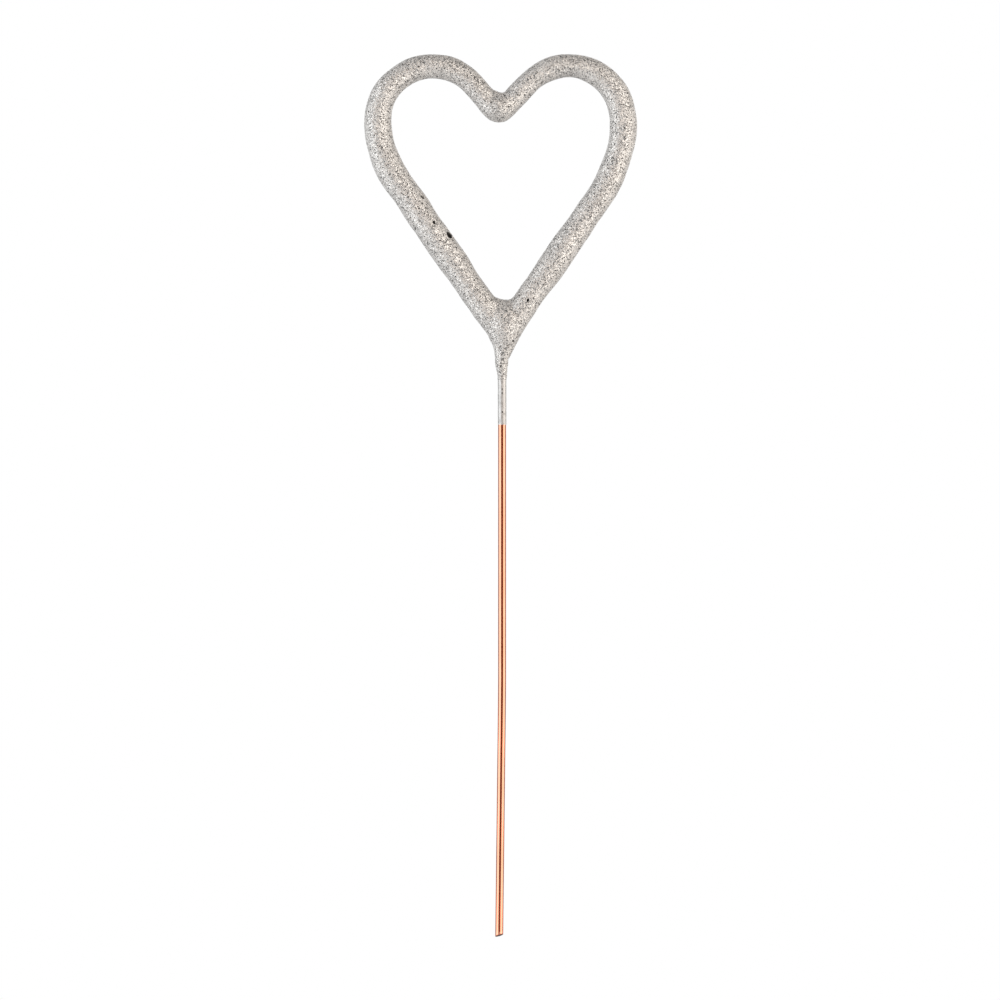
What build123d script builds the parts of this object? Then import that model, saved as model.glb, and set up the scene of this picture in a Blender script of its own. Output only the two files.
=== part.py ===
from build123d import *
import os
from math import asin, atan2, ceil, copysign, cos, hypot, pi, radians, sin, tan

# A heart-shaped hand sparkler: one copper-plated steel wire, bent into a heart on a straight stem,
# with spark composition dried on the heart in three dips.
# +Z runs up the upright part of the stem, +X across the heart, and the heart lies in the XZ plane.
# The origin is the middle of the cut end of the stem.

# Driving dimensions in millimetres, angles in degrees

# The wire, measured over its copper
wire_diameter = 1.65
plating_thickness = 0.05

# The stem: a held run that leans a little, a faint bend, and an upright run to the tip of the heart.
# The shears cut it on a slant that drops to the left and faces a little to the front.
held_length = 47.0
held_lean = 0.67
lean_bend_radius = 600.0
cut_drop_angle = 16.0
cut_front_angle = 14.0
tip_height = 121.8
tip_bend_radius = 4.0

# The line of the wire round the heart, out from the upright stem and up from the tip. The heart is
# widest at the rise of its sides. Each crown is the arc from there to a straight flank, which falls at
# a slope into the notch bend.
side_rise = 44.15
right_half_width = 24.7
left_half_width = 25.4
right_shoulder_radius = 26.4
left_shoulder_radius = 20.4
left_arm_rise = 1.1
notch_rise = 47.4
notch_shift = -0.45
notch_bend_radius = 3.7
flank_slope = 49.0
tail_gap = 0.2

# How far each dip reaches down the stem from the tip
first_dip_depth = 17.7
second_dip_depth = 7.9
third_dip_depth = 4.4

# The film of the first dip, the collar of the second, which tapers up to its full width at a depth of
# its own, and the step at the lower edge of each
film_thickness = 0.04
collar_diameter = 2.7
collar_taper_depth = 5.3
edge_step = 0.06

# The outside of the coat, which thins over the crowns and gathers in the tip and in the notch, where its
# bead sags below the wire's line. The left arm ends in a round that stands out a little from it. The web
# in the foot of the V swells between its ends, which are sunk a little into the arms.
right_arm_coat_diameter = 5.6
left_arm_coat_diameter = 5.95
side_coat_diameter = 5.45
crown_coat_diameter = 4.8
flank_coat_diameter = 4.55
notch_coat_diameter = 6.2
notch_sag = 0.4
tip_ball_diameter = 5.65
left_end_swell = 0.03
web_coat_diameter = 6.3
web_coat_depth = 4.8
web_bend_radius = 5.1
web_end_sink = 0.06

# Largest turn from one round section of a bend to the next, in the hidden wire and in the coat
wire_section_turn = 20.0
coat_section_turn = 12.0

# Sizes that follow
wire_radius = wire_diameter / 2
core_radius = wire_radius - plating_thickness
film_radius = wire_radius + film_thickness
lean = radians(held_lean)
stem_x = held_length * sin(lean) + lean_bend_radius * (1 - cos(lean))
bend_top = held_length * cos(lean) + lean_bend_radius * sin(lean)


def around(centre, radius, angle):
    """The point on a circle at an angle from its +X side."""
    return centre[0] + radius * cos(angle), centre[1] + radius * sin(angle)


def straight(start, end):
    """The two stations of a straight run: place out from the stem, place up from the tip, heading."""
    heading = atan2(end[1] - start[1], end[0] - start[0])
    return [(*start, heading), (*end, heading)]


def bow(centre, radius, start, end, section_turn):
    """The stations of an arc between two angles."""
    steps = ceil(abs(end - start) / radians(section_turn))
    quarter = copysign(pi / 2, end - start)
    angles = [start + (end - start) * i / steps for i in range(steps + 1)]
    return [(*around(centre, radius, angle), angle + quarter) for angle in angles]


def chain(runs):
    """The stations of runs that follow each other, with each shared station once."""
    stations = list(runs[0])
    for run in runs[1:]:
        stations += run[1:]
    return stations


def turned_back(run):
    """A run followed the other way."""
    return [(x, rise, heading + pi) for x, rise, heading in reversed(run)]


def half_heart(side, half_width, shoulder_radius, foot_rise, section_turn):
    """The runs of one half of the heart, from its foot on the stem's line to the bottom of the notch:
    arm, shoulder, rising crown, falling crown, flank, notch."""
    shoulder = (half_width - shoulder_radius, side_rise)
    notch = (side * notch_shift, notch_rise + notch_bend_radius)
    # The arm is the straight from the foot that touches the shoulder
    reach = hypot(shoulder[0], side_rise - foot_rise)
    slope = atan2(side_rise - foot_rise, shoulder[0]) - asin(shoulder_radius / reach)
    arm_end = slope - pi / 2
    # The flank leaves the notch bend at its slope, and the crown touches it and the widest line
    fall = radians(flank_slope)
    flank_foot = around(notch, notch_bend_radius, fall - pi / 2)
    span = half_width - flank_foot[0]
    lift = flank_foot[1] - side_rise
    crown_radius = (span * sin(fall) + lift * cos(fall)) / (1 + sin(fall))
    crown = (half_width - crown_radius, side_rise)
    crown_end = pi / 2 + fall
    runs = [
        straight((0, foot_rise), around(shoulder, shoulder_radius, arm_end)),
        bow(shoulder, shoulder_radius, arm_end, 0, section_turn),
        bow(crown, crown_radius, 0, pi / 2, section_turn),
        bow(crown, crown_radius, pi / 2, crown_end, section_turn),
        straight(around(crown, crown_radius, crown_end), flank_foot),
        bow(notch, notch_bend_radius, fall - pi / 2, -pi / 2, section_turn),
    ]
    if side < 0:
        runs = [[(-x, rise, pi - heading) for x, rise, heading in run] for run in runs]
    return runs


def right_half(section_turn):
    """The right half, whose arm runs straight on from the stem."""
    return half_heart(1, right_half_width, right_shoulder_radius, 0, section_turn)


def left_half(section_turn):
    """The left half, whose arm comes back to the stem a little above the tip."""
    return half_heart(-1, left_half_width, left_shoulder_radius, left_arm_rise, section_turn)


# The heading of the right arm, and the mirrored heading of the left one, as slopes from level
right_wire = right_half(wire_section_turn)
left_wire = left_half(wire_section_turn)
right_slope = right_wire[0][0][2]
left_slope = pi - left_wire[0][0][2]


def spot(x, rise):
    """A point in the plane of the heart, out from the upright stem and up from the tip."""
    return Vector(stem_x + x, 0, tip_height + rise)


def across(station):
    """The plane across the line at a station."""
    x, rise, heading = station
    return Plane(spot(x, rise), x_dir=(0, 1, 0), z_dir=(cos(heading), 0, sin(heading)))


def round_section(station, radius):
    """A disc across the line at a station."""
    return across(station) * Circle(radius)


def rod(radius, stations):
    """A round rod through a line of stations."""
    return loft([round_section(station, radius) for station in stations], ruled=True)


def tip_bend():
    """The bend that turns the wire from the stem into the right arm."""
    turn = pi / 2 - right_slope
    centre = (tip_bend_radius, -tip_bend_radius * tan(turn / 2))
    return bow(centre, tip_bend_radius, pi, pi - turn, wire_section_turn)


def stem_runs():
    """The held run from a little below the cut, the faint bend, and the upright run to the tip bend."""
    held = (wire_diameter + held_length) * cos(lean)
    centre = (-lean_bend_radius, bend_top - tip_height)
    bend = bow(centre, lean_bend_radius, -lean, 0, wire_section_turn)
    start_x = bend[0][0] - held * tan(lean)
    start_rise = bend[0][1] - held
    upright = straight(bend[-1][:2], tip_bend()[0][:2])
    return [straight((start_x, start_rise), bend[0][:2]), bend, upright]


def heart_runs():
    """The tip bend, up the right arm, round the heart, and down the left arm to a tail that stops
    beside the stem."""
    bend = tip_bend()
    right_arm = straight(bend[-1][:2], right_wire[0][-1][:2])
    left_back = [turned_back(run) for run in reversed(left_wire[1:])]
    tail = (core_radius * sin(left_slope) + wire_radius + tail_gap) / cos(left_slope)
    tail_end = (-tail * cos(left_slope), left_arm_rise + tail * sin(left_slope))
    left_arm = straight(left_wire[0][-1][:2], tail_end)
    return [bend, right_arm] + right_wire[1:] + left_back + [left_arm]


def above_cut(solid):
    """What is left of the wire above the slanting cut of the shears."""
    slant = lean - radians(cut_drop_angle)
    front = radians(cut_front_angle)
    cut = Plane((0, 0, 0), z_dir=(sin(slant) * cos(front), sin(front), cos(slant) * cos(front)))
    return split(solid, bisect_by=cut, keep=Keep.TOP)


def turned(outline):
    """A solid turned round the upright stem from half of its outline."""
    return revolve(make_face(outline), axis=Axis((stem_x, 0, 0), (0, 0, 1)))


def collar_solid(top):
    """The collar of the second dip, from its lower edge up to the tip bend."""
    corners = [
        (0, -second_dip_depth),
        (film_radius + edge_step, -second_dip_depth),
        (collar_diameter / 2, -collar_taper_depth),
        (collar_diameter / 2, top),
        (0, top),
    ]
    return turned(Polyline(*[spot(*corner) for corner in corners], close=True))


def tip_solid():
    """The ball of composition at the tip, which narrows to a cone down the stem."""
    ball = tip_ball_diameter / 2
    edge = collar_diameter / 2 + edge_step
    flare = asin(ball / hypot(edge, third_dip_depth)) - atan2(edge, third_dip_depth)
    dome = [spot(*around((0, 0), ball, angle)) for angle in (-flare, (pi / 2 - flare) / 2, pi / 2)]
    foot = spot(0, -third_dip_depth)
    cone = Polyline(foot, spot(edge, -third_dip_depth), dome[0])
    return turned(cone + ThreePointArc(*dome) + Line(dome[-1], foot))


def coat_half(runs, arm_diameter):
    """The coat on one half of the heart: round sections that swell and thin from run to run, and sag in
    the notch."""
    ends = [
        (arm_diameter, 0),
        (arm_diameter, 0),
        (side_coat_diameter, 0),
        (crown_coat_diameter, 0),
        (flank_coat_diameter, 0),
        (flank_coat_diameter, 0),
        (notch_coat_diameter, notch_sag),
    ]
    sections = [round_section(runs[0][0], arm_diameter / 2)]
    for run, start, end in zip(runs, ends, ends[1:]):
        steps = len(run) - 1
        for i in range(1, len(run)):
            share = (1 - cos(pi * i / steps)) / 2
            diameter, sag = [a + (b - a) * share for a, b in zip(start, end)]
            x, rise, heading = run[i]
            sections.append(round_section((x, rise - sag, heading), diameter / 2))
    return loft(sections, ruled=True)


def tip_web():
    """The fillet of composition in the foot of the V, along a bend that touches both arms' lines, from the
    girth of one arm to that of the other with a swell between."""
    right_in = (-sin(right_slope), cos(right_slope))
    left_in = (sin(left_slope), cos(left_slope))
    right_reach = web_bend_radius
    left_reach = web_bend_radius + left_arm_rise * left_in[1]
    spread = right_in[0] * left_in[1] - right_in[1] * left_in[0]
    centre_x = (right_reach * left_in[1] - left_reach * right_in[1]) / spread
    centre_rise = (left_reach * right_in[0] - right_reach * left_in[0]) / spread
    left_end = atan2(-left_in[1], -left_in[0])
    right_end = atan2(-right_in[1], -right_in[0])
    bend = bow((centre_x, centre_rise), web_bend_radius, left_end, right_end, coat_section_turn)
    left_radius = left_arm_coat_diameter / 2 - web_end_sink
    right_radius = right_arm_coat_diameter / 2 - web_end_sink
    swell = web_coat_diameter / 2 - (left_radius + right_radius) / 2
    sections = []
    for i, station in enumerate(bend):
        share = i / (len(bend) - 1)
        radius = left_radius + (right_radius - left_radius) * share + swell * sin(pi * share)
        sections.append(across(station) * Ellipse(web_coat_depth / 2, radius))
    return loft(sections, ruled=True)


# The wire runs from the cut to its tail; the copper, the film and the collar go up to the tip bend
stem = stem_runs()
stem_top = stem[-1][-1][:2]
steel = above_cut(rod(core_radius, chain(stem + heart_runs())))
plated_stem = above_cut(rod(wire_radius, chain(stem)))
filmed_stem = rod(film_radius, straight((0, -first_dip_depth), stem_top))
collar = collar_solid(stem_top[1])
right_coat = coat_half(right_half(coat_section_turn), right_arm_coat_diameter)
left_coat = coat_half(left_half(coat_section_turn), left_arm_coat_diameter)
left_round = Pos(spot(0, left_arm_rise)) * Sphere(left_arm_coat_diameter / 2 + left_end_swell)

# Each layer is cut by what it was laid on
nodes = {
    "steel_wire": steel,
    "copper_plating": plated_stem - steel,
    "dip_film": filmed_stem - plated_stem,
    "dip_collar": collar - filmed_stem,
    "spark_coat": right_coat + left_coat + left_round + tip_web() + tip_solid() - collar - steel,
}
os.makedirs("parts", exist_ok=True)
for name, piece in nodes.items():
    export_step(piece, f"parts/{name}.step")
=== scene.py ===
from math import asin, atan2, ceil, copysign, cos, hypot, pi, radians, sin, tan

import bmesh
import bpy
from mathutils import Matrix, Vector, noise
from mathutils.bvhtree import BVHTree


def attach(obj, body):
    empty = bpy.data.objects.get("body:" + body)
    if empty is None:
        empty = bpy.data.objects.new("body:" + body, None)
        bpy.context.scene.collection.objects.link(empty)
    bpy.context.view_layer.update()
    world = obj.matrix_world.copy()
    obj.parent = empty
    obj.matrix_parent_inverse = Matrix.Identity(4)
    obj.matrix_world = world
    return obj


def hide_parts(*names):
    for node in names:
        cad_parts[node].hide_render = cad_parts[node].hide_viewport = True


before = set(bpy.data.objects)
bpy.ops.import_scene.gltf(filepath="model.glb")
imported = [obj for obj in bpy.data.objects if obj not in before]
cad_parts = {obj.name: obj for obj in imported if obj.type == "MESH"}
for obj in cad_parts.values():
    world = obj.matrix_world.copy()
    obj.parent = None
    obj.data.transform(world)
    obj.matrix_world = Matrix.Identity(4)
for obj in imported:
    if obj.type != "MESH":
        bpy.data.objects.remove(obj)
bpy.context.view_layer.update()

# The steel wire
# One length of drawn mild steel, bent cold into a heart on a long stem. Shears cut it off on a slant,
# so its dull face shows at the lower end; the rest lies under the copper and the composition.
MM = 0.001  # sizes are in millimetres, and each finished mesh is brought to metres
core_radius = 0.775
held_length = 47.0
held_lean = radians(0.67)
lean_bend_radius = 600.0
cut_drop = radians(16.0)  # the cut falls to the left
cut_front = radians(14.0)  # and its face is turned a little to the front
tip_height = 121.8
tip_bend_radius = 4.0
side_rise = 44.15  # from the tip up to where the heart is widest
right_half_width = 24.7
left_half_width = 25.4
right_shoulder_radius = 26.4
left_shoulder_radius = 20.4
left_arm_rise = 1.1  # from the tip up to where the left arm meets the stem
notch_rise = 47.4
notch_shift = -0.45
notch_bend_radius = 3.7
flank_slope = radians(49.0)
tail_reach = 2.9
stem_x = held_length * sin(held_lean) + lean_bend_radius * (1 - cos(held_lean))
bend_top = held_length * cos(held_lean) + lean_bend_radius * sin(held_lean)
held_line = Vector((sin(held_lean), 0, cos(held_lean)))
stem_step = 1.5  # from one ring of points to the next
heart_step = 1.0
wire_sides = 48
torn_rounds = (0.25, 0.5, 0.72, 0.88)  # shares of the way from the middle of the cut to its rim
torn_depth = 0.012
torn_size = 0.2
steel_dark = (0.05, 0.032, 0.022, 1)
steel_light = (0.16, 0.105, 0.075, 1)


def around(centre, radius, angle):
    """The point on a circle at an angle from its +X side."""
    return centre[0] + radius * cos(angle), centre[1] + radius * sin(angle)


def straight(start, end, step):
    """Stations along a straight run: place across, place up, heading."""
    heading = atan2(end[1] - start[1], end[0] - start[0])
    count = ceil(hypot(end[0] - start[0], end[1] - start[1]) / step)
    shares = [i / count for i in range(count + 1)]
    return [
        (start[0] + (end[0] - start[0]) * share, start[1] + (end[1] - start[1]) * share, heading)
        for share in shares
    ]


def bow(centre, radius, start, end, step):
    """Stations round an arc between two angles."""
    count = ceil(abs(end - start) * radius / step)
    quarter = copysign(pi / 2, end - start)
    angles = [start + (end - start) * i / count for i in range(count + 1)]
    return [(*around(centre, radius, angle), angle + quarter) for angle in angles]


def chain(runs):
    """The stations of runs that follow each other, with each shared station once."""
    stations = list(runs[0])
    for run in runs[1:]:
        stations += run[1:]
    return stations


def half_heart(side, half_width, shoulder_radius, foot_rise, step):
    """The runs of one half of the heart, from its foot to the bottom of the notch: arm, shoulder,
    rising crown, falling crown, flank, notch."""
    shoulder = (half_width - shoulder_radius, side_rise)
    notch = (side * notch_shift, notch_rise + notch_bend_radius)
    reach = hypot(shoulder[0], side_rise - foot_rise)
    slope = atan2(side_rise - foot_rise, shoulder[0]) - asin(shoulder_radius / reach)
    arm_end = slope - pi / 2
    flank_foot = around(notch, notch_bend_radius, flank_slope - pi / 2)
    span = half_width - flank_foot[0]
    lift = flank_foot[1] - side_rise
    crown_radius = (span * sin(flank_slope) + lift * cos(flank_slope)) / (1 + sin(flank_slope))
    crown = (half_width - crown_radius, side_rise)
    crown_end = pi / 2 + flank_slope
    runs = [
        straight((0, foot_rise), around(shoulder, shoulder_radius, arm_end), step),
        bow(shoulder, shoulder_radius, arm_end, 0, step),
        bow(crown, crown_radius, 0, pi / 2, step),
        bow(crown, crown_radius, pi / 2, crown_end, step),
        straight(around(crown, crown_radius, crown_end), flank_foot, step),
        bow(notch, notch_bend_radius, flank_slope - pi / 2, -pi / 2, step),
    ]
    if side < 0:
        runs = [[(-x, z, pi - heading) for x, z, heading in run] for run in runs]
    return [[(stem_x + x, tip_height + z, heading) for x, z, heading in run] for run in runs]


def right_half(step):
    """The right half, whose arm runs straight on from the stem."""
    return half_heart(1, right_half_width, right_shoulder_radius, 0, step)


def left_half(step):
    """The left half, whose arm comes back to the stem a little above the tip."""
    return half_heart(-1, left_half_width, left_shoulder_radius, left_arm_rise, step)


def tip_bend(step):
    """The bend from the stem into the right arm."""
    turn = pi / 2 - right_half(step)[0][0][2]
    centre = (stem_x + tip_bend_radius, tip_height - tip_bend_radius * tan(turn / 2))
    return bow(centre, tip_bend_radius, pi, pi - turn, step)


def stem_runs(step):
    """The held run from the cut, the faint bend, and the upright run to the tip bend."""
    bend = bow((stem_x - lean_bend_radius, bend_top), lean_bend_radius, -held_lean, 0, step)
    held = straight((0, 0), bend[0][:2], step)
    rise = straight(bend[-1][:2], tip_bend(step)[0][:2], step)
    return [held, bend, rise]


def turned_back(run):
    """A run followed the other way."""
    return [(x, z, heading + pi) for x, z, heading in reversed(run)]


def heart_runs(step):
    """The tip bend, up the right arm, round the heart, and down the left arm to a tail by the stem."""
    right = right_half(step)
    left = left_half(step)
    bend = tip_bend(step)
    right_arm = straight(bend[-1][:2], right[0][-1][:2], step)
    foot_x, foot_z, heading = left[0][0]
    tail = (foot_x + tail_reach * cos(heading), foot_z + tail_reach * sin(heading))
    left_arm = straight(left[0][-1][:2], tail, step)
    left_back = [turned_back(run) for run in reversed(left[1:])]
    return [bend, right_arm] + right[1:] + left_back + [left_arm]


def ring(station, radius, sides, depth=1.0):
    """A round of points across the line at a station, its front-to-back size a share of its width."""
    x, z, heading = station
    points = []
    for i in range(sides):
        angle = 2 * pi * i / sides
        out = radius * cos(angle)
        back = radius * depth * sin(angle)
        points.append(Vector((x - out * sin(heading), back, z + out * cos(heading))))
    return points


def sheared(points):
    """A ring at the lower end, each point moved along the held run onto the slant of the cut."""
    slant = held_lean - cut_drop
    facing = Vector((sin(slant) * cos(cut_front), sin(cut_front), cos(slant) * cos(cut_front)))
    return [point - held_line * (point.dot(facing) / held_line.dot(facing)) for point in points]


def placed(name, data):
    """A new object in the scene: a mesh, a lamp or a camera."""
    thing = bpy.data.objects.new(name, data)
    bpy.context.scene.collection.objects.link(thing)
    return thing


def skin(name, rings):
    """A closed mesh over rings of points, with a middle point in each end."""
    mesh = bpy.data.meshes.new(name)
    shape = bmesh.new()
    rows = [[shape.verts.new(point) for point in points] for points in rings]
    sides = len(rows[0])
    for low, high in zip(rows, rows[1:]):
        for i in range(sides):
            j = (i + 1) % sides
            shape.faces.new((low[i], low[j], high[j], high[i]))
    for row in (rows[0], rows[-1]):
        middle = shape.verts.new(sum((vert.co for vert in row), Vector()) / sides)
        for i in range(sides):
            shape.faces.new((row[i], row[(i + 1) % sides], middle))
    bmesh.ops.recalc_face_normals(shape, faces=shape.faces)
    shape.to_mesh(mesh)
    shape.free()
    return placed(name, mesh)


def node_adder(tree):
    """A function that adds a node to an emptied tree, with its settings made and its inputs set or linked.
    An input is called by its name or, as _0, _1 and so on, by its place."""
    tree.nodes.clear()

    def add(kind, settings=None, **inputs):
        node = tree.nodes.new(kind)
        for key, value in (settings or {}).items():
            setattr(node, key, value)
        for key, value in inputs.items():
            spot = int(key[1:]) if key[1:].isdigit() else key.replace("_", " ")
            if isinstance(value, bpy.types.NodeSocket):
                tree.links.new(value, node.inputs[spot])
            else:
                node.inputs[spot].default_value = value
        return node

    return add


def new_finish(name):
    """An empty material and the function that adds nodes to it."""
    finish = bpy.data.materials.new(name)
    finish.use_nodes = True
    return finish, node_adder(finish.node_tree)


def ramp(add, value, stops):
    """A colour ramp over a value, from stops of (place, colour)."""
    node = add("ShaderNodeValToRGB", Fac=value)
    band = node.color_ramp
    while len(band.elements) < len(stops):
        band.elements.new(1.0)
    for element, (place, colour) in zip(band.elements, stops):
        element.position = place
        element.color = colour
    return node.outputs["Color"]


def levels(add, value, low, high):
    """A value from 0 to 1 spread between two levels."""
    return add("ShaderNodeMapRange", Value=value, To_Min=low, To_Max=high).outputs["Result"]


def mottle(add, place, scale, detail):
    """Soft blots from 0 to 1, by how many there are to a metre and how many finer layers lie on them."""
    return add("ShaderNodeTexNoise", Vector=place, Scale=scale, Detail=detail).outputs["Fac"]


def bumps(add, height, distance, strength):
    """The way a surface faces where small bumps lie on it."""
    return add("ShaderNodeBump", Height=height, Distance=distance, Strength=strength).outputs["Normal"]


def surface(add, colour, rough, metal, facing):
    """Ends a finish with a surface of these looks."""
    looks = {"Base_Color": colour, "Roughness": rough, "Metallic": metal, "Normal": facing}
    shader = add("ShaderNodeBsdfPrincipled", **looks)
    add("ShaderNodeOutputMaterial", Surface=shader.outputs["BSDF"])


def settle(piece, finish, node, smooth_angle):
    """Brings a finished mesh to metres, gives it its finish and sets it in the place of its CAD node."""
    piece.data.transform(Matrix.Scale(MM, 4))
    piece.data.shade_smooth()
    piece.data.set_sharp_from_angle(angle=radians(smooth_angle))
    piece.data.materials.clear()
    piece.data.materials.append(finish)
    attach(piece, "root")
    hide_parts(node)


wire_line = chain(stem_runs(stem_step) + heart_runs(heart_step))
wire_rings = [ring(station, core_radius, wire_sides) for station in wire_line]
wire_rings[0] = sheared(wire_rings[0])
end_middle = sum(wire_rings[0], Vector()) / wire_sides
end_rings = []
for share in torn_rounds:
    points = [end_middle.lerp(point, share) for point in wire_rings[0]]
    for point in points:
        point.z += torn_depth * noise.noise(point / torn_size)
    end_rings.append(points)
steel_wire = skin("steel_wire", end_rings + wire_rings)

steel_finish, add = new_finish("dull_steel")
place = add("ShaderNodeTexCoord").outputs["Object"]
torn = mottle(add, place, scale=9000.0, detail=4.0)
shade = ramp(add, torn, [(0.3, steel_dark), (0.7, steel_light)])
rough = levels(add, torn, low=0.35, high=0.65)
dents = bumps(add, torn, distance=0.00003, strength=0.6)
surface(add, shade, rough, metal=0.85, facing=dents)
settle(steel_wire, steel_finish, "steel_wire", smooth_angle=40)

# The copper plating
# A bright skin of copper a few hundredths thick, laid on the steel before the wire was drawn to size.
# It shows all down the bare stem, with faint lines along it from the die and a rim rolled by the shears.
wire_radius = 0.825
sway_depth = 0.012  # how far the wire is from straight
sway_size = 9.0
rolled_rim = [(0.0, 0.04), (0.1, 0.014), (0.28, 0.0)]  # height over the cut, how far the rim is rolled in
copper_step = 1.0
bore_step = 1.0
bore_overrun = 2.0  # how far a cutting tool stands out of the piece at each end
sliver = 0.003  # edges shorter than this are closed up after a cut
copper_dull = (0.74, 0.295, 0.19, 1)
copper_bright = (0.82, 0.355, 0.24, 1)


def bake_shape(piece):
    """Makes what the piece's modifiers show its own mesh."""
    graph = bpy.context.evaluated_depsgraph_get()
    shaped = bpy.data.meshes.new_from_object(piece.evaluated_get(graph))
    plain = piece.data
    piece.modifiers.clear()
    piece.data = shaped
    bpy.data.meshes.remove(plain)


def rod(name, line, radius, sides):
    """A round bar along a line of stations."""
    return skin(name, [ring(station, radius, sides) for station in line])


def cut_away(piece, tool):
    """Takes the tool's solid out of the piece, and clears away the tool, the slivers of the cut and the
    spare points between two edges."""
    step = piece.modifiers.new("cut", "BOOLEAN")
    step.operation = "DIFFERENCE"
    step.solver = "MANIFOLD"
    step.object = tool
    bake_shape(piece)
    bpy.data.objects.remove(tool)
    shape = bmesh.new()
    shape.from_mesh(piece.data)
    bmesh.ops.dissolve_degenerate(shape, dist=sliver, edges=shape.edges)
    spare = [vert for vert in shape.verts if len(vert.link_edges) == 2]
    bmesh.ops.dissolve_verts(shape, verts=spare)
    shape.to_mesh(piece.data)
    shape.free()


stem_line = chain(stem_runs(copper_step))
copper_rings = []
for lift, inset in rolled_rim:
    points = sheared(ring(stem_line[0], wire_radius - inset, wire_sides))
    copper_rings.append([point + held_line * lift for point in points])
for station in stem_line[1:]:
    sway = Vector((sway_depth * noise.noise((0, 0, station[1] / sway_size)), 0, 0))
    copper_rings.append([point + sway for point in ring(station, wire_radius, wire_sides)])
copper_plating = skin("copper_plating", copper_rings)
below_cut = (-bore_overrun * held_line.x, -bore_overrun * held_line.z, pi / 2 - held_lean)
core_line = [below_cut] + chain(stem_runs(bore_step) + [tip_bend(bore_step)])
cut_away(copper_plating, rod("stem_core", core_line, core_radius, wire_sides))

copper_finish, add = new_finish("bright_copper")
place = add("ShaderNodeTexCoord").outputs["Object"]
drawn_out = add("ShaderNodeMapping", Vector=place, Scale=(9000.0, 9000.0, 60.0)).outputs["Vector"]
die_lines = mottle(add, drawn_out, scale=1.0, detail=3.0)
cloud = mottle(add, place, scale=90.0, detail=3.0)
shade = ramp(add, cloud, [(0.3, copper_dull), (0.7, copper_bright)])
rough = levels(add, die_lines, low=0.09, high=0.17)
grooves = bumps(add, die_lines, distance=0.000002, strength=0.4)
surface(add, shade, rough, metal=1.0, facing=grooves)
settle(copper_plating, copper_finish, "copper_plating", smooth_angle=40)

# The film of the first dip
# What the first dip left where it ran off down the stem: a silvery film, thin enough to follow the wire,
# with a clean lower edge and a few dark specks where drops dried on it.
film_radius = 0.865
film_low = 104.1
film_top = tip_bend(bore_step)[0][1]  # where the tip bend starts, inside the coat
film_step = 0.25
film_sides = 64
film_edge_wave = 0.06
edge_wave_size = 0.5
film_lumps = [(0.8, 0.02), (0.35, 0.012)]  # size and depth of each layer of lumps
film_dark = (0.42, 0.41, 0.395, 1)
film_grey = (0.60, 0.59, 0.58, 1)
film_light = (0.67, 0.66, 0.65, 1)
# Painted shade: black in the hollows of pits and burst bubbles, and the dark of the specks on the film
speck_and_pit_shade_black = (0.012, 0.010, 0.009, 1)
pit_steepness = 3  # the higher, the flatter a pit's floor and the steeper its wall
pit_edge = 2.5  # the higher, the sharper the edge of its dark colour
# Specks and pits: side seen from, place across, place up, length, width, depth, lean of the length,
# darkness, which is the dark of a speck and the shade painted into a pit
film_specks = [
    (-1, 0.62, 111.3, 0.40, 0.28, 0.02, 90, 0.8),
    (-1, 0.58, 110.5, 0.36, 0.30, 0.02, 60, 0.8),
    (-1, 0.64, 106.7, 0.40, 0.32, 0.02, 90, 0.9),
    (1, 0.52, 109.7, 0.40, 0.30, 0.02, 90, 0.8),
    (1, 0.70, 106.0, 0.45, 0.25, 0.02, 90, 0.8),
]


def upright(low, high, step):
    """Stations up the upright part of the stem."""
    return straight((stem_x, low), (stem_x, high), step)


def roughened(piece, lumps, strength=lambda point: 1.0):
    """Moves a skin in and out by soft noises of (size, depth), as strong as each place asks for."""
    shape = bmesh.new()
    shape.from_mesh(piece.data)
    shape.normal_update()
    moves = []
    for vert in shape.verts:
        lift = sum(depth * noise.noise(vert.co / size + Vector((size, 0, 0))) for size, depth in lumps)
        moves.append(vert.normal * lift * strength(vert.co))
    for vert, move in zip(shape.verts, moves):
        vert.co += move
    shape.to_mesh(piece.data)
    shape.free()


def pit_places(shape, spots):
    """Where pits that are seen from the front or the back lie on a skin, with their headings and sizes."""
    outside = BVHTree.FromBMesh(shape)
    pits = []
    for side, across, up, length, width, depth, lean, speck_and_shade_darkness in spots:
        far = Vector((across, side * tip_height, up))  # any place well clear of the sparkler will do
        middle = outside.ray_cast(far, Vector((0, -side, 0)))[0]
        heading = Vector((cos(radians(lean)), 0, sin(radians(lean))))
        pits.append((middle, heading, length, width, depth, speck_and_shade_darkness))
    return pits


def refine(shape, middle, reach):
    """Splits the faces about a place, so that a pit there has points enough."""
    near = [face for face in shape.faces if (face.calc_center_median() - middle).length < reach]
    edges = list(dict.fromkeys(edge for face in near for edge in face.edges))
    bmesh.ops.subdivide_edges(shape, edges=edges, cuts=2, use_grid_fill=True)


def push_in(shape, pit, speck_and_shade_mask):
    """Hollows a pit out of a skin and marks how dark its points are painted, as shade that deepens with the
    hollow.
    """
    middle, heading, length, width, depth, speck_and_shade_darkness = pit
    for vert in shape.verts:
        offset = vert.co - middle
        if offset.length < length:
            offset.y = 0
            run = offset.dot(heading)
            sideways = (offset - heading * run).length
            hollow = max(0.0, 1 - hypot(2 * run / length, 2 * sideways / width) ** pit_steepness)
            vert[speck_and_shade_mask] = max(vert[speck_and_shade_mask], speck_and_shade_darkness * min(1.0, pit_edge * hollow))
            vert.co -= vert.normal * depth * hollow


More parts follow.
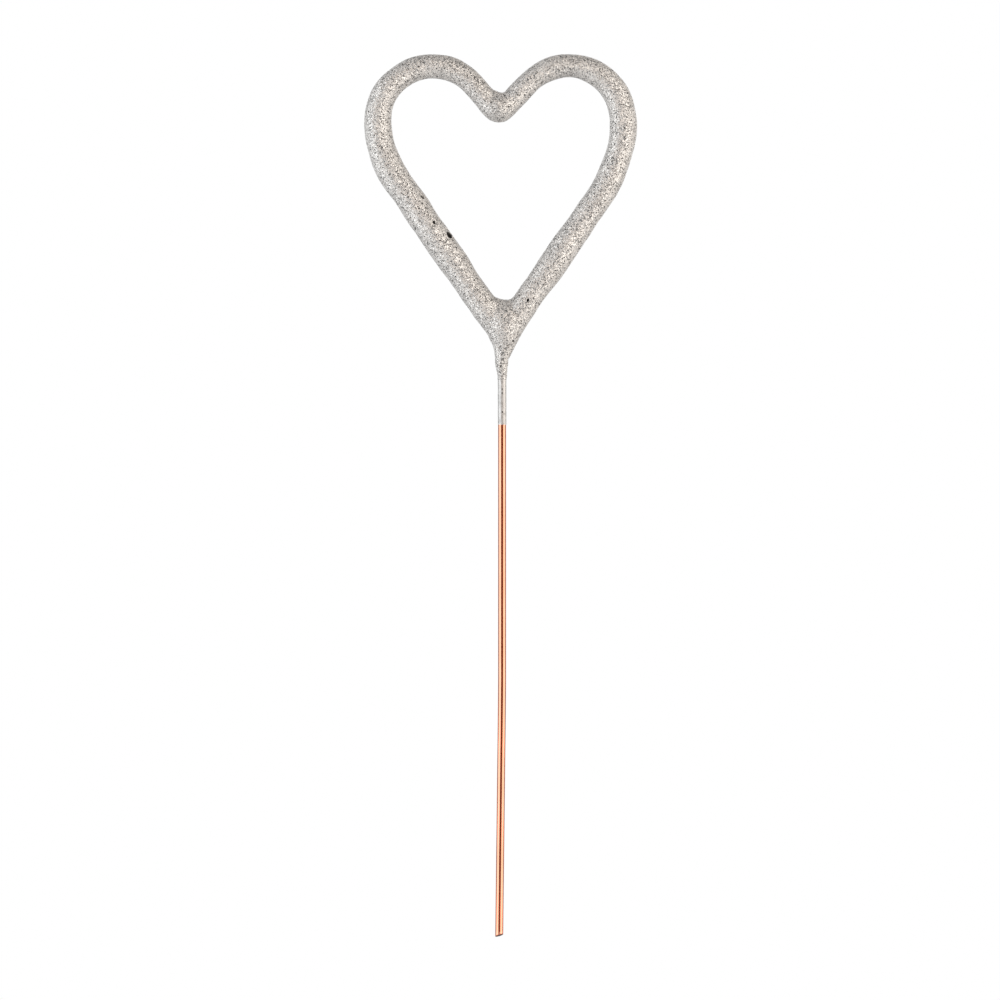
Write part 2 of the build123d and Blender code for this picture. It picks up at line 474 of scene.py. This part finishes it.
def pocked(piece, spots):
    """Pushes pits into a skin and marks them dark, as shade painted into their hollows."""
    shape = bmesh.new()
    shape.from_mesh(piece.data)
    pits = pit_places(shape, spots)
    for middle, heading, length, width, depth, speck_and_shade_darkness in pits:
        refine(shape, middle, length)
    shape.normal_update()
    speck_and_shade_mask = shape.verts.layers.float.new("pit")
    for pit in pits:
        push_in(shape, pit, speck_and_shade_mask)
    shape.to_mesh(piece.data)
    shape.free()


def blend(add, share, first, second, way="MIX"):
    """Two colours mixed or multiplied, by a share of the second."""
    colours = {"data_type": "RGBA", "blend_type": way}
    return add("ShaderNodeMix", colours, _0=share, _6=first, _7=second).outputs[2]


def pitted(add, colour):
    """A colour that turns black in the pits: painted shade in their hollows, and the dark of specks."""
    pit = add("ShaderNodeAttribute", {"attribute_name": "pit"}).outputs["Fac"]
    return blend(add, pit, colour, speck_and_pit_shade_black)


film_line = upright(film_low, film_top, film_step)
film_rings = [ring(station, film_radius, film_sides) for station in film_line]
for point in film_rings[0]:
    point.z += film_edge_wave * noise.noise(point / edge_wave_size)
dip_film = skin("dip_film", film_rings)
roughened(dip_film, film_lumps)
pocked(dip_film, film_specks)
film_bore = upright(film_low - bore_overrun, film_top + bore_overrun, bore_step)
cut_away(dip_film, rod("film_bore", film_bore, wire_radius, wire_sides))

film_finish, add = new_finish("silver_film")
place = add("ShaderNodeTexCoord").outputs["Object"]
fine = mottle(add, place, scale=2600.0, detail=4.0)
blots = mottle(add, place, scale=900.0, detail=3.0)
shade = ramp(add, blots, [(0.28, film_dark), (0.42, film_grey), (0.8, film_light)])
rough = levels(add, fine, low=0.46, high=0.64)
dust = bumps(add, fine, distance=0.00002, strength=0.5)
surface(add, pitted(add, shade), rough, metal=0.9, facing=dust)
settle(dip_film, film_finish, "dip_film", smooth_angle=50)

# The collar of the second dip
# A small cone of spark composition under the heart, where the second dip ended and dried: aluminium and
# iron powder in a starch binder, with a ragged string of pits down its front, painted black inside as shade.
collar_low = 113.35
collar_edge_wave = 0.25
collar_steps = [  # height, shift across, radius across, depth as a share of it
    (collar_low, 0.0, 0.945, 1.0),
    (113.9, 0.0, 0.955, 1.0),
    (114.7, 0.0, 1.01, 1.0),
    (115.3, -0.03, 1.12, 1.0),
    (115.9, -0.07, 1.22, 1.0),
    (116.5, -0.10, 1.33, 1.0),
    (117.1, -0.10, 1.355, 1.0),
    (118.0, -0.05, 1.35, 1.0),
]
collar_step = 0.12
collar_sides = 72
collar_lumps = [(0.9, 0.05), (0.3, 0.03)]
grain_size = 0.00018  # in metres
grain_black = (0.040, 0.039, 0.039, 1)
collar_grey = (0.770, 0.759, 0.743, 1)
collar_light = (0.950, 0.937, 0.917, 1)
cloud_tint = (0.95, 0.945, 0.94, 1)
no_tint = (1, 1, 1, 1)
no_metal = (0, 0, 0, 1)
flake_metal = (0.80, 0.80, 0.80, 1)
flake_tilt = 0.65
# Pits, by the columns of the specks above; the last is how dark their painted shade is
collar_pits = [
    (-1, 0.62, 117.4, 0.60, 0.38, 0.10, 30, 0.55),
    (-1, 0.34, 116.0, 0.70, 0.42, 0.12, 60, 0.65),
    (-1, 0.16, 114.8, 0.55, 0.35, 0.08, 130, 0.5),
    (-1, 0.55, 113.95, 0.55, 0.40, 0.04, 70, 0.5),
    (1, 0.80, 116.4, 0.50, 0.35, 0.12, 60, 0.6),
    (1, 0.35, 115.0, 0.45, 0.30, 0.10, 110, 0.6),
]


def eased(stops, place):
    """The values between stops of (place, values...), run smoothly from one to the next."""
    for low, high in zip(stops, stops[1:]):
        if place <= high[0]:
            break
    share = min(1.0, max(0.0, (place - low[0]) / (high[0] - low[0])))
    share = share * share * (3 - 2 * share)
    return [a + (b - a) * share for a, b in zip(low[1:], high[1:])]


def turned(stops, high, step, sides):
    """Rings up the stem that follow stops of (height, shift, radius, depth)."""
    rings = []
    for x, z, heading in upright(stops[0][0], high, step):
        shift, radius, depth = eased(stops, z)
        rings.append(ring((x + shift, z, heading), radius, sides, depth))
    return rings


def grain_shade(add, place, speckle, grey, light):
    """The colours of the grains, from black to light, and faint clouds over them."""
    tone = add("ShaderNodeMapRange", Value=speckle, From_Min=0.45, From_Max=1.5).outputs["Result"]
    grains = ramp(add, tone, [(0.08, grain_black), (0.38, grey), (1.00, light)])
    cloud = mottle(add, place, scale=420.0, detail=3.0)
    clouds = ramp(add, cloud, [(0.3, cloud_tint), (0.7, no_tint)])
    return blend(add, 1.0, grains, clouds, "MULTIPLY")


def flake_lie(add, grain):
    """The way flakes face: that of the skin, tilted by chance for each grain."""
    level = (0.5, 0.5, 0.5)
    lie = add("ShaderNodeVectorMath", {"operation": "SUBTRACT"}, _0=grain, _1=level).outputs[0]
    facing = add("ShaderNodeNewGeometry").outputs["Normal"]
    spread = (flake_tilt, flake_tilt, flake_tilt)
    leaning = add("ShaderNodeVectorMath", {"operation": "MULTIPLY_ADD"}, _0=lie, _1=spread, _2=facing)
    return add("ShaderNodeVectorMath", {"operation": "NORMALIZE"}, _0=leaning.outputs[0]).outputs[0]


def composition(name, grey, light):
    """The finish of dried spark composition: grains of binder and flakes of metal that lie all ways."""
    finish, add = new_finish(name)
    place = add("ShaderNodeTexCoord").outputs["Object"]
    grain = add("ShaderNodeTexVoronoi", Vector=place, Scale=1 / grain_size).outputs["Color"]
    chance = add("ShaderNodeSeparateColor", Color=grain).outputs
    fine = mottle(add, place, scale=6000.0, detail=3.0)
    speckle = add("ShaderNodeMath", {"operation": "ADD"}, _0=fine, _1=chance["Red"]).outputs["Value"]
    shade = grain_shade(add, place, speckle, grey, light)
    metal = ramp(add, chance["Green"], [(0.25, no_metal), (0.6, flake_metal)])
    rough = levels(add, fine, low=0.40, high=0.64)
    flakes = flake_lie(add, grain)
    grit = add("ShaderNodeBump", Height=fine, Distance=0.00005, Strength=0.35, Normal=flakes)
    surface(add, pitted(add, shade), rough, metal, facing=grit.outputs["Normal"])
    return finish


collar_rings = turned(collar_steps, film_top, collar_step, collar_sides)
for point in collar_rings[0]:
    point.z += collar_edge_wave * noise.noise(point / edge_wave_size)
dip_collar = skin("dip_collar", collar_rings)
roughened(dip_collar, collar_lumps)
pocked(dip_collar, collar_pits)
collar_outside = dip_collar.data.copy()
collar_bore = upright(collar_low - bore_overrun, film_top + bore_overrun, bore_step)
cut_away(dip_collar, rod("collar_bore", collar_bore, film_radius, film_sides))
collar_finish = composition("dark_composition", collar_grey, collar_light)
settle(dip_collar, collar_finish, "dip_collar", smooth_angle=60)

# The coat of the third dip
# The thick outer layer of the same composition, dried where it hung: thin over the crowns, gathered in
# the notch, down the arms and in the foot of the V, with a fine grain and a few burst bubbles, their hollows
# painted dark as shade.
notch_sag = 0.4
# Girths: foot, quarter, middle and end of the arm, side, crown, top and foot of the flank, notch
right_girths = [5.28, 5.45, 5.80, 5.58, 5.53, 4.94, 4.50, 4.70, 6.3]
left_girths = [5.40, 5.85, 6.14, 5.97, 5.57, 4.93, 4.85, 4.75, 6.3]
web_girths = [(0.0, 5.95), (0.4, 6.65), (1.0, 5.55)]  # share of the way across the V, girth
web_bend_radius = 5.1
web_depth = 0.78
tip_steps = [  # height, shift across, radius across, depth as a share of it
    (117.4, 0.02, 1.41, 1.0),
    (118.2, 0.07, 1.65, 0.95),
    (119.0, 0.18, 1.85, 0.96),
    (120.2, 0.26, 2.25, 0.99),
    (121.4, 0.29, 2.90, 0.97),
    (122.8, 0.40, 3.53, 0.92),
    (124.8, 0.49, 4.30, 0.80),
    (126.6, 0.49, 4.60, 0.66),
    (128.6, 0.49, 2.40, 0.80),
]
nubs = [  # middle and radius of a hanging bead
    ((-1.40, -0.6, 166.95), 0.90),
    ((-1.20, -0.2, 170.75), 1.65),
    ((-1.00, -0.3, 128.30), 1.80),
    ((-17.9, -0.3, 147.0), 0.95),
]
coat_sides = 56
coat_step = 0.4
coat_voxel = 0.24
coat_ease = 0.5
coat_ease_rounds = 17
coat_lumps = [(6.0, 0.26), (2.2, 0.05), (0.55, 0.005)]
calm_below = 117.6
calm_height = 2.0
calm_share = 0.15
coat_grey = (0.830, 0.818, 0.801, 1)
coat_light = (0.980, 0.966, 0.946, 1)
# Burst bubbles and specks, by the columns of the film's specks; the last darkens each with painted shade
bubbles = [
    (-1, -10.1, 142.7, 1.65, 0.95, 0.50, 124, 1.0),
    (-1, -13.25, 145.2, 0.85, 0.50, 0.35, 115, 0.95),
    (-1, -15.6, 150.45, 0.85, 0.50, 0.25, 120, 0.85),
    (-1, -18.0, 146.2, 0.50, 0.30, 0.20, 120, 0.5),
    (-1, -9.55, 133.3, 0.60, 0.35, 0.15, 120, 0.5),
    (-1, 5.87, 129.4, 0.80, 0.55, 0.40, 85, 1.0),
    (-1, 2.83, 121.1, 0.50, 0.38, 0.25, 45, 0.9),
    (-1, 1.75, 120.2, 0.75, 0.35, 0.18, 10, 0.55),
    (-1, 1.30, 119.5, 0.70, 0.50, 0.15, 150, 0.5),
    (-1, 0.10, 119.8, 0.60, 0.40, 0.12, 100, 0.4),
    (-1, 0.60, 118.4, 0.60, 0.40, 0.12, 60, 0.5),
    (-1, 3.85, 126.5, 0.90, 0.45, 0.15, 170, 0.4),
    (-1, 2.70, 128.0, 0.80, 0.40, 0.12, 150, 0.3),
    (-1, 0.50, 126.4, 0.70, 0.45, 0.12, 20, 0.3),
    (-1, 25.6, 161.0, 0.40, 0.30, 0.20, 90, 0.7),
    (-1, 21.5, 149.6, 0.40, 0.30, 0.20, 60, 0.7),
    (1, 12.2, 143.5, 1.10, 0.70, 0.40, 57, 1.0),
    (1, -20.6, 155.8, 0.70, 0.45, 0.30, 110, 0.9),
    (1, -6.2, 134.2, 0.60, 0.40, 0.30, 125, 0.9),
    (1, 16.4, 175.6, 0.50, 0.35, 0.20, 160, 0.8),
    (1, 1.6, 120.6, 0.50, 0.35, 0.20, 70, 0.8),
]


def girth_stops(runs, girths):
    """How far along each girth comes: the foot, the quarter and the middle of the arm, and the end of each
    run, where the last one sags."""
    lengths = [sum(hypot(b[0] - a[0], b[1] - a[1]) for a, b in zip(run, run[1:])) for run in runs]
    ends = [sum(lengths[: i + 1]) for i in range(len(lengths))]
    sags = [0.0] * (len(girths) - 1) + [notch_sag]
    return list(zip([0.0, lengths[0] / 4, lengths[0] / 2] + ends, girths, sags))


def coat_half(name, runs, girths):
    """The coat on one half of the heart as a closed tube that swells and thins."""
    stops = girth_stops(runs, girths)
    stations = chain(runs)
    along = 0.0
    rings = [ring(stations[0], girths[0] / 2, coat_sides)]
    for before, station in zip(stations, stations[1:]):
        x, z, heading = station
        along += hypot(x - before[0], z - before[1])
        girth, sag = eased(stops, along)
        rings.append(ring((x, z - sag, heading), girth / 2, coat_sides))
    return skin(name, rings)


def tip_web():
    """The fillet in the foot of the V, along a bend that touches both arms' lines."""
    right_slope = right_half(coat_step)[0][0][2]
    left_slope = pi - left_half(coat_step)[0][0][2]
    right_in = (-sin(right_slope), cos(right_slope))
    left_in = (sin(left_slope), cos(left_slope))
    left_reach = web_bend_radius + left_arm_rise * left_in[1]
    spread = right_in[0] * left_in[1] - right_in[1] * left_in[0]
    centre_x = (web_bend_radius * left_in[1] - left_reach * right_in[1]) / spread
    centre_z = (left_reach * right_in[0] - web_bend_radius * left_in[0]) / spread
    left_end = atan2(-left_in[1], -left_in[0])
    right_end = atan2(-right_in[1], -right_in[0])
    bend = bow((stem_x + centre_x, tip_height + centre_z), web_bend_radius, left_end, right_end, coat_step)
    rings = []
    for i, station in enumerate(bend):
        girth = eased(web_girths, i / (len(bend) - 1))[0]
        rings.append(ring(station, girth / 2, coat_sides, web_depth))
    return skin("web", rings)


def coat_roughness(point):
    """How strong the lumps are: calm at the lower edge, where the coat meets the collar."""
    return min(1.0, max(calm_share, (point.z - calm_below) / calm_height))


coat_parts = [
    coat_half("right_coat", right_half(coat_step), right_girths),
    coat_half("left_coat", left_half(coat_step), left_girths),
    tip_web(),
    skin("tip", turned(tip_steps, tip_steps[-1][0], coat_step, coat_sides)),
]
whole = bmesh.new()
for part in coat_parts:
    whole.from_mesh(part.data)
    bpy.data.objects.remove(part)
for middle, radius in nubs:
    bmesh.ops.create_icosphere(whole, subdivisions=3, radius=radius, matrix=Matrix.Translation(middle))
coat_mesh = bpy.data.meshes.new("spark_coat")
whole.to_mesh(coat_mesh)
whole.free()
spark_coat = placed("spark_coat", coat_mesh)
merge = spark_coat.modifiers.new("merge", "REMESH")
merge.mode = "VOXEL"
merge.voxel_size = coat_voxel
ease = spark_coat.modifiers.new("ease", "SMOOTH")
ease.factor = coat_ease
ease.iterations = coat_ease_rounds
bake_shape(spark_coat)
roughened(spark_coat, coat_lumps, coat_roughness)
pocked(spark_coat, bubbles)
cut_away(spark_coat, placed("collar_outside", collar_outside))
cut_away(spark_coat, skin("wire_inside", wire_rings))
coat_finish = composition("grey_composition", coat_grey, coat_light)
settle(spark_coat, coat_finish, "spark_coat", smooth_angle=60)

# The studio
# A pale floor well below the sparkler, a cool soft box to the left and a warm one like it to the right,
# and a room that is dark brown behind the camera and white behind the sparkler, also in the metal.
# The camera stands square on to the heart, and sees the room as white all round.
floor_height = -3.0  # the studio's sizes are in metres
floor_reach = 30.0
floor_grey = (0.80, 0.80, 0.80, 1)
floor_pale = (0.84, 0.84, 0.84, 1)
floor_glow = 0.36
box_distance = 1.0
box_angle = radians(63)
box_width = 1.28
box_height = 1.1
left_box_middle = 0.27
left_box_power = 9.0
left_box_colour = (0.96, 0.985, 1.0)
right_box_middle = 0.25
right_box_power = 9.1
right_box_colour = (1.0, 0.93, 0.85)
room_front = (0.18, 0.085, 0.03, 1)
room_side = (0.23, 0.23, 0.23, 1)
room_back = (1, 1, 1, 1)
view_distance = 1.2
view_middle = (0.00016, 0.08877)
frame_width = 0.20383
camera_sensor = 36.0


def either(add, first, second):
    """The greater of two values."""
    return add("ShaderNodeMath", {"operation": "MAXIMUM"}, _0=first, _1=second).outputs["Value"]


corners = [(-1, -1), (1, -1), (1, 1), (-1, 1)]
floor_mesh = bpy.data.meshes.new("floor")
spots = [(x * floor_reach, y * floor_reach, floor_height) for x, y in corners]
floor_mesh.from_pydata(spots, [], [(0, 1, 2, 3)])
floor = placed("floor", floor_mesh)
floor_finish, add = new_finish("pale_floor")
place = add("ShaderNodeTexCoord").outputs["Object"]
paper = mottle(add, place, scale=300.0, detail=3.0)
shade = ramp(add, paper, [(0.0, floor_grey), (1.0, floor_pale)])
matt = add("ShaderNodeBsdfDiffuse", Color=shade).outputs["BSDF"]
path = add("ShaderNodeLightPath").outputs
direct = either(add, path["Is Camera Ray"], path["Is Transmission Ray"])
shown = either(add, direct, path["Is Glossy Ray"])
glow = add("ShaderNodeMath", {"operation": "MULTIPLY"}, _0=shown, _1=floor_glow).outputs["Value"]
lit = add("ShaderNodeEmission", Strength=glow).outputs["Emission"]
add("ShaderNodeOutputMaterial", Surface=add("ShaderNodeAddShader", _0=matt, _1=lit).outputs["Shader"])
floor.data.materials.append(floor_finish)


def soft_box(name, side, middle, power, colour):
    """A lamp behind a sheet of diffuser, upright and turned to the sparkler."""
    lamp = bpy.data.lights.new(name, "AREA")
    lamp.shape = "RECTANGLE"
    lamp.size = box_width
    lamp.size_y = box_height
    lamp.energy = power
    lamp.color = colour
    box = placed(name, lamp)
    away = Vector((side * sin(box_angle), -cos(box_angle), 0))
    box.location = away * box_distance + Vector((0, 0, middle))
    box.rotation_euler = away.to_track_quat("Z", "Y").to_euler()
    box.visible_camera = False


soft_box("left_box", -1, left_box_middle, left_box_power, left_box_colour)
soft_box("right_box", 1, right_box_middle, right_box_power, right_box_colour)

world = bpy.data.worlds.new("studio")
world.use_nodes = True
add = node_adder(world.node_tree)
direction = add("ShaderNodeTexCoord").outputs["Generated"]
to_back = add("ShaderNodeSeparateXYZ", Vector=direction).outputs["Y"]
depth = add("ShaderNodeMapRange", Value=to_back, From_Min=-1.0).outputs["Result"]
room = ramp(add, depth, [(0.06, room_front), (0.22, room_side), (0.8, room_side), (0.92, room_back)])
path = add("ShaderNodeLightPath").outputs
direct = either(add, path["Is Camera Ray"], path["Is Transmission Ray"])
shown = blend(add, direct, room, room_back)
sky = add("ShaderNodeBackground", Color=shown).outputs["Background"]
add("ShaderNodeOutputWorld", Surface=sky)
bpy.context.scene.world = world

camera_data = bpy.data.cameras.new("camera")
camera_data.sensor_width = camera_sensor
camera_data.lens = camera_sensor * view_distance / frame_width
camera = placed("camera", camera_data)
camera.location = (view_middle[0], -view_distance, view_middle[1])
camera.rotation_euler = (pi / 2, 0, 0)
bpy.context.scene.camera = camera
bpy.context.scene.view_settings.view_transform = "Standard"
